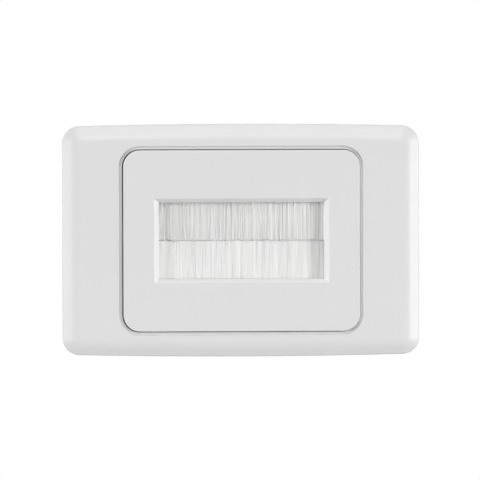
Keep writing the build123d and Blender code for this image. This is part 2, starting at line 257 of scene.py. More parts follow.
class ScrewSettings(bpy.types.PropertyGroup):
    head_radius: mm("Head radius", "Radius of a screw's head", 2.1)
    head_height: mm("Head height", "Height of a screw's head", 1.5)
    shank_radius: mm("Shank radius", "Outer radius of the thread", 1.0)
    thread_pitch: mm("Thread pitch", "Distance between the thread's turns", 0.9)
    thread_depth: mm("Thread depth", "Depth of the thread", 0.28)
    recess_span: mm("Recess span", "Width of the cross recess", 2.0)
    recess_width: mm("Recess width", "Width of the recess's arms", 0.5)
    recess_depth: mm("Recess depth", "Depth of the recess", 0.9)
    seed: IntProperty(name="Seed", description="Seed of how far each screw is turned", default=3, min=0)


class FinishSettings(bpy.types.PropertyGroup):
    plastic: colour("White plastic", "Colour of the cover and the base", (0.83, 0.83, 0.828))
    bar: colour("Bar plastic", "Colour of the clamp bars", (0.74, 0.74, 0.735))
    filament: colour("Filament", "Colour of the bristles", (0.975, 0.975, 0.97))
    channel: colour("Channel metal", "Colour of the folded channels", (0.72, 0.73, 0.75))
    steel: colour("Steel", "Colour of the wires and screws", (0.62, 0.62, 0.63))
    grain: share("Grain", "Strength of the moulded surface's fine grain", 0.1)


class StageSettings(bpy.types.PropertyGroup):
    distance: mm("Camera distance", "Distance of the camera from the plate", 2000.0)
    field: mm("Field", "Width of the picture at the plate's front", 155.65)
    yaw: angle("Yaw", "How far the camera stands to the left", 1.9)
    rise: angle("Rise", "How far the camera stands above the plate", 2.4)
    roll: angle("Roll", "How far the camera is turned clockwise", 0.13)
    aim_left: mm("Aim left", "How far left of the plate's middle the camera aims", 0.38)
    aim_up: mm("Aim up", "How far above the plate's middle the camera aims", 0.24)
    floor_drop: mm("Floor drop", "Distance of the floor below the plate's middle", 150.0)
    floor_radius: mm("Floor radius", "Radius of the floor", 400.0)
    floor_veil: share("Floor veil", "How much of the white surroundings shows through the floor", 0.6)
    front_key: watts("Front light", "Power of the light a little above the camera", 2.17)
    high_key: watts("High light", "Power of the light above the front", 1.68)
    left: watts("Left light", "Power of the light at the left", 3.7)
    far_left: watts("Far left light", "Power of the light beside the plate at the left", 1.55)
    right: watts("Right light", "Power of the light at the right", 4.3)
    far_right: watts("Far right light", "Power of the light beside the plate at the right", 1.7)
    top: watts("Top light", "Power of the light above", 1.4)
    back: watts("Back lights", "Power of each of the two lights behind the wall's plane", 1.6)
    back_top: watts("High back light", "Power of the light above and behind the plate", 1.6)


# Node trees written as calls and expressions


def arithmetic(operation, swapped=False):
    """A method that joins a wire and another value by a Math node."""

    def method(self, other):
        values = (other, self) if swapped else (self, other)
        return self.nodes.maths(operation, *values)

    return method


def function(operation):
    """A method that runs a wire through a Math node."""

    def method(self):
        return self.nodes.maths(operation, self)

    return method


class Wire:
    """A node's output, on which arithmetic adds Math nodes."""

    def __init__(self, nodes, socket):
        self.nodes = nodes
        self.socket = socket

    __add__ = arithmetic("ADD")
    __radd__ = arithmetic("ADD", swapped=True)
    __sub__ = arithmetic("SUBTRACT")
    __rsub__ = arithmetic("SUBTRACT", swapped=True)
    __mul__ = arithmetic("MULTIPLY")
    __rmul__ = arithmetic("MULTIPLY", swapped=True)
    __truediv__ = arithmetic("DIVIDE")
    __rtruediv__ = arithmetic("DIVIDE", swapped=True)
    __pow__ = arithmetic("POWER")
    __abs__ = function("ABSOLUTE")
    __floor__ = function("FLOOR")
    above = arithmetic("GREATER_THAN")
    at_least = arithmetic("MAXIMUM")
    at_most = arithmetic("MINIMUM")
    cosine = function("COSINE")
    sine = function("SINE")
    sign = function("SIGN")

    def __neg__(self):
        return self * -1.0


class Nodes:
    """A shader or geometry tree under construction."""

    def __init__(self, tree):
        self.tree = tree

    def add(self, kind, settings=None, inputs=None, output=0):
        """Add a node with its settings, and with values, wires or lists of wires on its sockets."""
        node = self.tree.nodes.new(kind)
        for name, value in (settings or {}).items():
            setattr(node, name, value)
        sockets = {socket.identifier: socket for socket in node.inputs}
        for name, value in (inputs or {}).items():
            for part in value if isinstance(value, list) else [value]:
                if isinstance(part, Wire):
                    self.tree.links.new(part.socket, sockets[name])
                else:
                    sockets[name].default_value = part
        return None if output is None else Wire(self, node.outputs[output])

    def maths(self, operation, *values):
        inputs = dict(zip(("Value", "Value_001", "Value_002"), values))
        return self.add("ShaderNodeMath", {"operation": operation}, inputs)

    def vector(self, x, y, z):
        return self.add("ShaderNodeCombineXYZ", inputs={"X": x, "Y": y, "Z": z})

    def parts(self, vector):
        """The three numbers of a vector."""
        first = self.add("ShaderNodeSeparateXYZ", inputs={"Vector": vector})
        return [Wire(self, socket) for socket in first.socket.node.outputs]

    def joined(self, *shapes):
        return self.add("GeometryNodeJoinGeometry", inputs={"Geometry": list(shapes)})

    def moved(self, shape, translation=(0, 0, 0), rotation=(0, 0, 0)):
        inputs = {"Geometry": shape, "Translation": translation, "Rotation": rotation}
        return self.add("GeometryNodeTransform", inputs=inputs)

    def both(self, shape):
        """A shape and its copy turned half round on the wall."""
        return self.joined(shape, self.moved(shape, rotation=(0, math.pi, 0)))

    def block(self, across, levels, rise):
        """A box between two places in x, two levels and two heights."""
        size = self.vector(across[1] - across[0], levels[1] - levels[0], rise[1] - rise[0])
        middle = self.vector(
            (across[0] + across[1]) / 2, (levels[0] + levels[1]) / -2, (rise[0] + rise[1]) / 2
        )
        return self.moved(self.add("GeometryNodeMeshCube", inputs={"Size": size}), middle)

    def rod(self, radius, levels, x, z):
        """A round rod that stands between two levels."""
        inputs = {"Vertices": ROD_SIDES, "Radius": radius, "Depth": levels[1] - levels[0]}
        rod = self.moved(self.add("GeometryNodeMeshCylinder", inputs=inputs), rotation=(math.pi / 2, 0, 0))
        return self.moved(rod, self.vector(x, (levels[0] + levels[1]) / -2, z))

    def tube(self, curve, radius):
        """A thin closed tube along a curve."""
        inputs = {"Resolution": TUBE_SIDES, "Radius": radius}
        profile = self.add("GeometryNodeCurvePrimitiveCircle", inputs=inputs)
        inputs = {"Curve": curve, "Profile Curve": profile, "Fill Caps": True}
        return self.add("GeometryNodeCurveToMesh", inputs=inputs)

    def hull(self, *shapes):
        return self.add("GeometryNodeConvexHull", inputs={"Geometry": self.joined(*shapes)})

    def four(self, shape, along_x=0.0, along_z=0.0):
        """Two copies on each half of the wall."""
        return self.both(self.row(shape, 2, along_x, along_z))

    def row(self, shape, count, along_x=0.0, along_z=0.0):
        """Copies of a shape in a centred row, one step apart in x or z."""
        offset = self.vector(along_x, 0.0, along_z)
        start = self.vector(along_x * (1 - count) / 2, 0.0, along_z * (1 - count) / 2)
        inputs = {"Count": count, "Start Location": start, "Offset": offset}
        line = self.add("GeometryNodeMeshLine", inputs=inputs)
        copies = self.add("GeometryNodeInstanceOnPoints", inputs={"Points": line, "Instance": shape})
        return self.add("GeometryNodeRealizeInstances", inputs={"Geometry": copies})

    def united(self, *shapes):
        settings = {"operation": "UNION", "solver": "EXACT"}
        return self.add("GeometryNodeMeshBoolean", settings, {"Mesh 2": list(shapes)})

    def cut(self, shape, *cutters):
        settings = {"operation": "DIFFERENCE", "solver": "EXACT"}
        return self.add("GeometryNodeMeshBoolean", settings, {"Mesh 1": shape, "Mesh 2": list(cutters)})

    def finish(self, shape, material):
        """End a geometry tree: real geometry in its material."""
        real = self.add("GeometryNodeRealizeInstances", inputs={"Geometry": shape})
        done = self.add("GeometryNodeSetMaterial", inputs={"Geometry": real, "Material": material})
        end = self.tree.nodes.new("NodeGroupOutput")
        self.tree.links.new(done.socket, end.inputs[0])


def grown(obj, material, sizes, build):
    """Run a Geometry Nodes tree with named inputs on an object, and keep the plain mesh that it makes."""
    name = obj.name
    tree = bpy.data.node_groups.new(name, "GeometryNodeTree")
    tree.interface.new_socket("Geometry", in_out="OUTPUT", socket_type="NodeSocketGeometry")
    tree.interface.new_socket("Geometry", in_out="INPUT", socket_type="NodeSocketGeometry")
    for label, value in sizes.items():
        kind = "NodeSocketInt" if isinstance(value, int) else "NodeSocketFloat"
        tree.interface.new_socket(label, in_out="INPUT", socket_type=kind)
    nodes = Nodes(tree)
    start = tree.nodes.new("NodeGroupInput")
    wires = {socket.name: Wire(nodes, socket) for socket in start.outputs if socket.name}
    shape = wires.pop("Geometry")
    nodes.finish(build(nodes, shape, SimpleNamespace(**wires)), material)

    modifier = obj.modifiers.new(name, "NODES")
    modifier.node_group = tree
    for item in tree.interface.items_tree:
        if item.in_out == "INPUT" and item.name in sizes:
            modifier[item.identifier] = sizes[item.name]
    freeze(obj)
    return obj


def freeze(obj):
    """Give an object the plain mesh that its modifiers make."""
    graph = bpy.context.evaluated_depsgraph_get()
    mesh = bpy.data.meshes.new_from_object(obj.evaluated_get(graph))
    if not mesh.polygons:
        raise RuntimeError(f"{obj.name} has no faces")
    obj.modifiers.clear()
    obj.data = mesh
    mesh.name = obj.name


def sizes_of(settings, names):
    """The settings of these names, as inputs of a tree."""
    return {name: getattr(settings, name) for name in names.split()}


# Skins through rings of matched points


def ring(half_width, half_height, corner, curve, level):
    """Points round a round-cornered rectangle whose long edges sink from their middles by curve * x * x."""
    corner = max(corner, SHARPEST)
    reach = half_width - corner
    slope = math.atan(2 * curve * reach)
    meet = reach + corner * math.sin(slope)
    rise = half_height - curve * meet**2 - corner * math.cos(slope)
    quarter = [(half_width, rise * step / SIDE_STEPS) for step in range(SIDE_STEPS)]
    for step in range(CORNER_STEPS + 1):
        turn = (math.pi / 2 - slope) * step / CORNER_STEPS
        quarter.append((reach + corner * math.cos(turn), rise + corner * math.sin(turn)))
    for step in range(1, EDGE_STEPS + 1):
        x = meet * (1 - step / EDGE_STEPS)
        quarter.append((x, half_height - curve * x**2))
    points = quarter + [(-x, z) for x, z in reversed(quarter[:-1])]
    points += [(-x, -z) for x, z in quarter[1:]] + [(x, -z) for x, z in reversed(quarter[1:-1])]
    return [Vector((x, -level, z)) for x, z in points]


def corner_of(width, height, corner, level, radius=0.0, curve=0.0):
    """One corner of a profile: its rectangle, its level, and the radius of its rounding."""
    return Vector((width / 2, height / 2, corner, curve, level)), radius


def eased(corners):
    """Round the corners of an open profile, with a narrow flat band beside each arc."""
    points = [corners[0][0]]
    for (before, _), (here, radius), (after, _) in zip(corners, corners[1:], corners[2:]):
        back = Vector((before[0] - here[0], before[LEVEL] - here[LEVEL]))
        onward = Vector((after[0] - here[0], after[LEVEL] - here[LEVEL]))
        turn = math.pi - back.angle(onward)
        if radius == 0 or turn < LEAST_TURN:
            points.append(here)
            continue
        tangent = radius * math.tan(turn / 2)
        band = min(SHADE_MARGIN, BAND_SHARE * back.length)
        points.append(here + (before - here) * (tangent + band) / back.length)
        steps = ARC_STEPS if radius > LARGE_RADIUS else SMALL_ARC_STEPS
        for step in range(steps + 1):
            part = turn * step / steps
            sideways = radius * (1 - math.cos(part))
            from_before = tangent - radius * math.sin(part) + sideways / math.tan(turn)
            from_after = sideways / math.sin(turn)
            place = here + (before - here) * from_before / back.length
            points.append(place + (after - here) * from_after / onward.length)
        band = min(SHADE_MARGIN, BAND_SHARE * onward.length)
        points.append(here + (after - here) * (tangent + band) / onward.length)
    points.append(corners[-1][0])
    return points


def skin(name, profiles):
    """A closed mesh object through the rings of its profiles, joined end to end."""
    rings = [ring(*place) for profile in profiles for place in eased(profile)]
    bm = bmesh.new()
    loops = [[bm.verts.new(point) for point in points] for points in rings]
    for near, far in zip(loops, loops[1:] + loops[:1]):
        for index in range(len(near)):
            after = (index + 1) % len(near)
            bm.faces.new((near[index], near[after], far[after], far[index]))
    bmesh.ops.remove_doubles(bm, verts=bm.verts, dist=WELD)
    return stored(bm, empty(name))


def stored(bm, obj):
    """Turn the faces outwards, and put them in an object's mesh."""
    bmesh.ops.recalc_face_normals(bm, faces=bm.faces)
    bm.to_mesh(obj.data)
    bm.free()
    return obj


def empty(name):
    """An object without faces, in the scene."""
    obj = bpy.data.objects.new(name, bpy.data.meshes.new(name))
    bpy.context.scene.collection.objects.link(obj)
    return obj


def welded(mesh):
    """The faces of a mesh, with its double points joined."""
    bm = bmesh.new()
    bm.from_mesh(mesh)
    bmesh.ops.remove_doubles(bm, verts=bm.verts, dist=WELD)
    return bm


def settled(obj, material, slot, *nodes):
    """Weld and smooth a piece, give it its material, and hide the frame nodes that it stands in for."""
    bm = welded(obj.data)
    bmesh.ops.dissolve_degenerate(bm, edges=bm.edges, dist=WELD)
    stored(bm, obj)
    mesh = obj.data
    mesh.shade_smooth()
    mesh.set_sharp_from_angle(angle=SMOOTH_ANGLE)
    mesh.materials.clear()
    mesh.materials.append(material)
    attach(obj, BODY)
    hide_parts(*nodes)


def dressed(name, node, edge, material, slot):
    """A welded copy of a frame node with softened edges."""
    bm = welded(bpy.data.objects[node].data)
    bmesh.ops.dissolve_limit(bm, angle_limit=FLAT_ANGLE, verts=bm.verts, edges=bm.edges)
    obj = stored(bm, empty(name))
    bevel = obj.modifiers.new("edges", "BEVEL")
    bevel.width = edge
    bevel.segments = 2
    bevel.limit_method = "ANGLE"
    bevel.angle_limit = BEVEL_ANGLE
    freeze(obj)
    settled(obj, material, slot, node)


# Finishes


def finish_of(name, build):
    """The material of this name, made at its first use."""
    material = bpy.data.materials.get(name)
    if material is None:
        material = bpy.data.materials.new(name)
        material.use_nodes = True
        material.node_tree.nodes.clear()
        nodes = Nodes(material.node_tree)
        surface = build(nodes)
        nodes.add("ShaderNodeOutputMaterial", inputs={"Surface": surface}, output=None)
    return material


def object_place(nodes):
    return nodes.add("ShaderNodeTexCoord", output="Object")


def noise(nodes, vector, scale, detail=2.0):
    return nodes.add("ShaderNodeTexNoise", inputs={"Vector": vector, "Scale": scale, "Detail": detail})


def stretched(nodes, vector, factors):
    return nodes.add(
        "ShaderNodeVectorMath", {"operation": "MULTIPLY"}, {"Vector": vector, "Vector_001": factors}
    )


def mixed(nodes, factor, first, second):
    inputs = {"Factor_Float": factor, "A_Color": first, "B_Color": second}
    return nodes.add("ShaderNodeMix", {"data_type": "RGBA"}, inputs, output=2)


def tone(value, amount):
    """A colour made lighter or darker, as the four numbers of a colour socket."""
    return (*[min(part * amount, 1.0) for part in value], 1.0)


def around(middle, spread, pattern):
    """A value that follows a pattern above and below its middle."""
    return middle - spread / 2 + spread * pattern


def bumped(nodes, height, strength, distance):
    inputs = {"Strength": strength, "Distance": distance, "Height": height}
    return nodes.add("ShaderNodeBump", inputs=inputs)


def moulded(name, value, roughness, grain):
    """Injection-moulded plastic: faint clouding, uneven gloss and a fine grain."""

    def build(nodes):
        place = object_place(nodes)
        cloud = noise(nodes, place, scale=45.0)
        gloss = noise(nodes, place, scale=160.0, detail=4.0)
        pores = noise(nodes, place, scale=2600.0, detail=3.0)
        inputs = {
            "Base Color": mixed(nodes, cloud, tone(value, 0.985), tone(value, 1.012)),
            "Roughness": around(roughness, 0.12, gloss),
            "Normal": bumped(nodes, pores, grain, distance=0.02 * MM),
            "IOR": 1.5,
        }
        return nodes.add("ShaderNodeBsdfPrincipled", inputs=inputs)

    return finish_of(name, build)


def drawn_metal(name, value, roughness):
    """Metal with faint lines along its length and uneven brightness."""

    def build(nodes):
        place = object_place(nodes)
        lines = noise(nodes, stretched(nodes, place, (0.04, 1.0, 1.0)), scale=4200.0, detail=3.0)
        blotches = noise(nodes, place, scale=220.0, detail=3.0)
        inputs = {
            "Base Color": mixed(nodes, blotches, tone(value, 0.86), tone(value, 1.08)),
            "Metallic": 1.0,
            "Roughness": around(roughness, 0.16, lines),
            "Normal": bumped(nodes, lines, strength=0.25, distance=0.01 * MM),
        }
        return nodes.add("ShaderNodeBsdfPrincipled", inputs=inputs)

    return finish_of(name, build)


def nylon(name, value):
    """Pale nylon that varies from one filament to the next."""

    def build(nodes):
        shade = nodes.add("ShaderNodeAttribute", {"attribute_name": "shade"}, output="Fac")
        streaks = noise(nodes, object_place(nodes), scale=900.0)
        inputs = {
            "Base Color": mixed(nodes, 0.6 * shade + 0.4 * streaks, tone(value, 0.97), tone(value, 1.02)),
            "Roughness": 0.3 + 0.15 * shade,
            "Normal": bumped(nodes, streaks, strength=0.1, distance=0.02 * MM),
            "IOR": 1.53,
        }
        return nodes.add("ShaderNodeBsdfPrincipled", inputs=inputs)

    return finish_of(name, build)


# Pieces


def cover_profiles(s):
    """The cover's section in three runs: round the outside, through the opening, and round the inside."""
    width = span("surround_cover", 0)
    height = span("surround_cover", 2)
    curve = s.bow / (width / 2) ** 2
    foot = farthest_level("surround_cover")
    face = nearest_level("surround_cover")
    ceiling = face - s.wall
    crease = s.crease_radius * math.tan(math.atan2(s.rim_drop, s.rim_width) / 2)
    end_extra = s.end_rim_width - s.rim_width
    panel = bpy.context.scene.wall_plate.base

    def outer(inset, level, radius=0.0, end_inset=0.0):
        across = width - 2 * (inset + end_inset)
        return corner_of(across, height - 2 * inset, s.corner - inset, level, radius, curve)

    def opening(outset, level, radius=0.0):
        grow = 2 * (s.opening_gap + outset)
        corner = panel.panel_corner + s.opening_gap + outset
        return corner_of(panel.panel_width + grow, panel.panel_height + grow, corner, level, radius)

    outside = [
        outer(s.wall, foot),
        outer(0, foot, s.small_edge),
        outer(0, face - s.rim_drop, s.edge_radius),
        outer(s.rim_width, face, s.crease_radius, end_extra),
        outer(s.rim_width + crease + 2 * SHADE_MARGIN, face, 0.0, end_extra),
    ]
    through = [
        opening(s.ledge_width + SHORT_RUN, face),
        opening(s.ledge_width, face, s.ledge_edge),
        opening(s.ledge_width, face - s.ledge_depth, s.small_edge),
        opening(0, face - s.ledge_depth, s.small_edge),
        opening(0, s.collar_foot, s.small_edge),
        opening(s.collar_wall, s.collar_foot, s.small_edge),
        opening(s.collar_wall, ceiling),
    ]
    slope = s.rim_drop / s.rim_width
    inside = [outer(s.rim_width, ceiling), outer(s.wall, ceiling - (s.rim_width - s.wall) * slope)]
    return [outside, through, inside]


def cover_tree(nodes, shell, w):
    """Catches and rests joined to the cover, and the pry notch cut in its foot."""
    half_catch = w.catch_width / 2
    levels = (w.catch_rear, w.catch_front)
    ramp = ((w.catch_rear + w.catch_front) / 2, w.catch_front)
    across = (-half_catch, half_catch)
    end_catch = nodes.hull(
        nodes.block((w.end_wall, w.end_wall + w.wall / 2), levels, across),
        nodes.block((w.end_tip, w.end_wall), ramp, across),
    )
    side_catch = nodes.hull(
        nodes.block(across, levels, (w.side_wall, w.side_wall + w.wall / 2)),
        nodes.block(across, ramp, (w.side_tip, w.side_wall)),
    )
    rest_levels = (w.deck, w.ceiling + w.wall * SINK)
    half_thick = w.rest_thickness / 2
    half_long = w.rest_length / 2
    end_rest = nodes.block(
        (w.end_rest_reach - half_thick, w.end_rest_reach + half_thick), rest_levels, (-half_long, half_long)
    )
    side_rest = nodes.block(
        (-half_long, half_long), rest_levels, (w.side_rest - half_thick, w.side_rest + half_thick)
    )
    whole = nodes.united(
        shell,
        nodes.both(end_catch),
        nodes.four(side_catch, along_x=w.catch_spacing),
        nodes.four(end_rest, along_z=2 * w.end_rest_rise),
        nodes.four(side_rest, along_x=w.side_rest_spacing),
    )
    half_notch = w.notch_width / 2
    notch = nodes.block(
        (-half_notch, half_notch),
        (w.foot - w.notch_height, w.foot + w.notch_height),
        (-w.half_height - w.wall, -w.half_height + NOTCH_REACH * w.wall),
    )
    return nodes.moved(nodes.cut(whole, notch), nodes.vector(w.shift, 0.0, 0.0))


def base_profile(s):
    """The base's section: through the window, behind the panel, under the deck and back over the front."""
    width = span("base_plate", 0)
    height = span("base_plate", 2)
    face = nearest_level("base_plate")
    rear = face - s.panel_thickness
    rib_rear = rear - s.window_rib_depth
    deck_rear = s.deck_front - s.deck_thickness
    edge = s.bevel_edge

    def window(outset, level, radius=0.0):
        return corner_of(s.window_width + 2 * outset, s.window_height + 2 * outset, 0, level, radius)

    def panel(inset, level, radius=0.0):
        corner = s.panel_corner - inset
        return corner_of(s.panel_width - 2 * inset, s.panel_height - 2 * inset, corner, level, radius)

    def skirt(inset, level, radius=0.0):
        return corner_of(width - 2 * inset, height - 2 * inset, s.corner - inset, level, radius)

    mouth_width = s.window_width + 2 * s.bevel_side
    mouth_height = s.window_height + 2 * s.bevel_end
    return [
        corner_of(mouth_width + 2 * FLAT_RUN, mouth_height + 2 * FLAT_RUN, 0, face),
        corner_of(mouth_width, mouth_height, 0, face, edge),
        window(0, face - s.bevel_depth, edge),
        window(0, rib_rear, edge),
        window(s.window_rib_wall, rib_rear, edge),
        window(s.window_rib_wall, rear),
        panel(s.panel_side_wall, rear),
        panel(s.panel_side_wall, 0, edge),
        panel(0, 0, edge),
        panel(0, deck_rear),
        skirt(s.wall, deck_rear),
        skirt(s.wall, 0, edge),
        skirt(0, 0, edge),
        skirt(0, s.deck_front, s.edge),
        panel(0, s.deck_front),
        panel(0, face, s.panel_edge),
        panel(FLAT_RUN, face),
    ]


def base_tree(nodes, shell, w):
    """Screw bosses, ribs and rails joined to the base, then its holes and catch pockets cut."""
    half_rib = w.rib_thickness / 2
    rib_levels = (w.rib_foot, w.deck_middle)
    panel_end = w.panel_width / 2 - w.panel_side_wall / 2
    panel_top = w.panel_height / 2 - w.panel_side_wall / 2
    side_rib = nodes.block((panel_end, w.half_width - w.wall / 2), rib_levels, (-half_rib, half_rib))
    end_rib = nodes.block((-half_rib, half_rib), rib_levels, (panel_top, w.half_height - w.wall / 2))

    screw_x = w.screw_pitch / 2
    across = w.slot_length / 2 + w.slot_boss_wall
    tall = w.slot_width / 2 + w.slot_boss_wall
    slot_boss = nodes.block((screw_x - across, screw_x + across), (0.0, w.deck_middle), (-tall, tall))
    slot_radius = w.slot_width / 2
    slot_reach = w.slot_length / 2 - slot_radius
    slot_levels = (-CUT_MARGIN, w.deck_front + CUT_MARGIN)
    slot = nodes.hull(
        nodes.rod(slot_radius, slot_levels, screw_x - slot_reach, 0.0),
        nodes.rod(slot_radius, slot_levels, screw_x + slot_reach, 0.0),
    )
    relief = nodes.rod(w.head_relief, (w.deck_front, w.collar_foot), screw_x, 0.0)

    boss_levels = (w.bar_front, w.panel_rear + w.panel_thickness * SINK)
    boss = nodes.rod(w.boss_radius, boss_levels, w.clamp_x, 0.0)
    pilot = nodes.rod(w.pilot_radius, (w.bar_front - CUT_MARGIN, w.pilot_end), w.clamp_x, 0.0)
    rail_levels = (w.rail_foot, w.panel_rear + w.panel_thickness * SINK)
    half_rail = w.rail_length / 2
    rail = nodes.block((-half_rail, half_rail), rail_levels, (w.rail_rise, w.rail_rise + w.rail_wall))

    whole = nodes.united(
        shell,
        nodes.both(slot_boss),
        nodes.both(nodes.row(side_rib, 3, along_z=w.side_rib_pitch)),
        nodes.four(end_rib, along_x=w.end_rib_spacing),
        nodes.four(boss, along_z=2 * w.clamp_z),
        nodes.both(rail),
    )
    pocket = w.catch_grip + w.catch_clearance
    half_pocket = w.catch_width / 2 + 2 * w.catch_clearance
    levels = (-CUT_MARGIN, w.catch_front + w.catch_clearance)
    end_pocket = nodes.block(
        (w.half_width - pocket, w.half_width + CUT_MARGIN), levels, (-half_pocket, half_pocket)
    )
    side_pocket = nodes.block(
        (-half_pocket, half_pocket), levels, (w.half_height - pocket, w.half_height + CUT_MARGIN)
    )
    return nodes.cut(
        whole,
        nodes.both(slot),
        nodes.both(relief),
        nodes.four(pilot, along_z=2 * w.clamp_z),
        nodes.both(end_pocket),
        nodes.four(side_pocket, along_x=w.catch_spacing),
    )


def brush_tree(nodes, shape, w):
    """Filaments doubled over the core wire, whose legs hang from the channel's mouth to the meeting line."""
    line = nodes.add("GeometryNodeCurvePrimitiveLine")
    inputs = {"Curve": line, "Count": FILAMENT_POINTS}
    line = nodes.add("GeometryNodeResampleCurve", {"mode": "COUNT"}, inputs)
    points = nodes.add("GeometryNodePoints", inputs={"Count": w.filaments})
    copies = nodes.add("GeometryNodeInstanceOnPoints", inputs={"Points": points, "Instance": line})
    curves = nodes.add("GeometryNodeRealizeInstances", inputs={"Geometry": copies})

    def drawn(low, high, owner, salt):
        inputs = {"Min_001": low, "Max_001": high, "ID": owner, "Seed": w.seed * DRAWS + salt}
        return nodes.add("FunctionNodeRandomValue", {"data_type": "FLOAT"}, inputs, output=1)

    def swirl(x, y, z, scale):
        """Three smooth numbers about zero that change slowly over space."""
        inputs = {"Vector": nodes.vector(x, y, z), "Scale": scale, "Detail": 1.0}
        noise_colour = nodes.add("ShaderNodeTexNoise", inputs=inputs, output="Color")
        return [part - 0.5 for part in nodes.parts(noise_colour)]

    # Where along its filament each point lies
    index = nodes.add("GeometryNodeInputIndex")
    number = math.floor(index / FILAMENT_POINTS)
    middle = (FILAMENT_POINTS - 1) / 2
    leg_steps = middle - FOLD_STEPS
    step = index - number * FILAMENT_POINTS - middle
    side = step.sign()
    away = abs(step)
    leg = number * 2 + step.above(0.0)
    fold = (away / FOLD_STEPS).at_most(1.0)
    down = (away - FOLD_STEPS).at_least(0.0)
    to_crimp = down.at_most(1.0)
    to_mouth = (down / MOUTH_STEPS).at_most(1.0)
    hanging = ((down - MOUTH_STEPS) / (leg_steps - MOUTH_STEPS)).at_least(0.0)

    # The undisturbed filament
    layer = drawn(0.0, 1.0, number, salt=1) ** w.spread
    fold_radius = w.tightest_fold + (w.fold_radius - w.tightest_fold) * layer
    leg_offset = w.filament_radius + (w.fan_depth / 2 - 2 * w.filament_radius) * layer
    turn = fold * (math.pi / 2)
    offset = side * (fold_radius * turn.sine() + (leg_offset - fold_radius) * to_crimp)
    start = w.length * ((number + 0.5) / w.filaments - 0.5)
    clump = swirl(start, side * layer * CLUMP_DEPTH, w.seed * CLUMP_SHIFT, 1.0 / w.clump_pitch)
    tips = w.tip_rise - w.back_drop * (1.0 - step.above(0.0))
    tips = tips + w.unevenness * (drawn(-0.3, 1.0, leg, salt=2) + CLUMP_ENDS * clump[2])
    rise = w.wire_rise + fold_radius * turn.cosine()
    rise = rise + (w.mouth_rise - w.wire_rise) * to_mouth + (tips - w.mouth_rise) * hanging

    # Clumps, waves and strays grow towards the tips
    bent = hanging * hanging
    wave = swirl(leg * WAVE_STEP, rise * WAVE_RATE, w.seed, 1.0)
    loose = drawn(-1.0, 1.0, leg, salt=4)
    loose = loose * loose * loose
    loose = loose * loose * loose
    sway = hanging * w.stray * (drawn(-SWAY, SWAY, leg, salt=5) + WILD * loose)
    x = start + bent * w.clump_pull * 2.0 * clump[0] + sway + hanging * w.wave * 2.0 * wave[0]
    x = x.at_most(w.length / 2 - w.filament_radius).at_least(w.filament_radius - w.length / 2)
    depth = offset + hanging * w.stray * drawn(-0.3, 0.3, leg, salt=6) + hanging * w.wave * 2.0 * wave[1]
    level = w.brush_level + depth - bent * w.lean

    curves = nodes.add(
        "GeometryNodeSetPosition", inputs={"Geometry": curves, "Position": nodes.vector(x, -level, rise)}
    )
    curves = nodes.add(
        "GeometryNodeStoreNamedAttribute",
        {"data_type": "FLOAT", "domain": "POINT"},
        {"Geometry": curves, "Name": "shade", "Value": drawn(0.0, 1.0, leg, salt=7)},
    )
    tubes = nodes.tube(curves, w.filament_radius)
    return nodes.moved(tubes, rotation=nodes.vector(0.0, w.turn, 0.0))


def screw_tree(nodes, shape, w):
    """A pan-head screw for plastic, on each of the four places."""
    seat = w.bar_rear
    top = seat - w.head_height
    steps = []
    for wide, high in PAN_HEAD:
        steps.append(nodes.rod(w.head_radius * wide, (seat - w.head_height * high, seat), 0.0, 0.0))
    head = nodes.hull(*steps)
    long_way = w.recess_span / 2
    short_way = w.recess_width / 2
    recess_levels = (top - CUT_MARGIN, top + w.recess_depth)
    head = nodes.cut(
        head,
        nodes.block((-long_way, long_way), recess_levels, (-short_way, short_way)),
        nodes.block((-short_way, short_way), recess_levels, (-long_way, long_way)),
    )
    core_radius = w.shank_radius - w.thread_depth
    core = nodes.rod(core_radius, (seat - CORE_OVERLAP, w.screw_end), 0.0, 0.0)
    thread_length = w.screw_end - seat - w.thread_pitch
    spiral = nodes.add(
        "GeometryNodeCurveSpiral",
        inputs={
            "Resolution": THREAD_STEPS,
            "Rotations": thread_length / w.thread_pitch,
            "Start Radius": core_radius,
            "End Radius": core_radius,
            "Height": thread_length,
        },
    )
    thread = nodes.moved(nodes.tube(spiral, w.thread_depth), rotation=(math.pi / 2, 0.0, 0.0))
    thread = nodes.moved(thread, nodes.vector(0.0, -seat - w.thread_pitch / 2, 0.0))
    screw = nodes.joined(head, core, thread)
    grid = nodes.add(
        "GeometryNodeMeshGrid",
        inputs={"Size X": 2 * w.clamp_x, "Size Y": 2 * w.clamp_z, "Vertices X": 2, "Vertices Y": 2},
    )
    grid = nodes.moved(grid, rotation=(math.pi / 2, 0.0, 0.0))
    inputs = {"Min_001": 0.0, "Max_001": math.pi, "Seed": w.seed}
    turned = nodes.add("FunctionNodeRandomValue", {"data_type": "FLOAT"}, inputs, output=1)
    inputs = {"Points": grid, "Instance": screw, "Rotation": nodes.vector(0.0, turned, 0.0)}
    return nodes.add("GeometryNodeInstanceOnPoints", inputs=inputs)


# Operators, in the order in which main() calls them


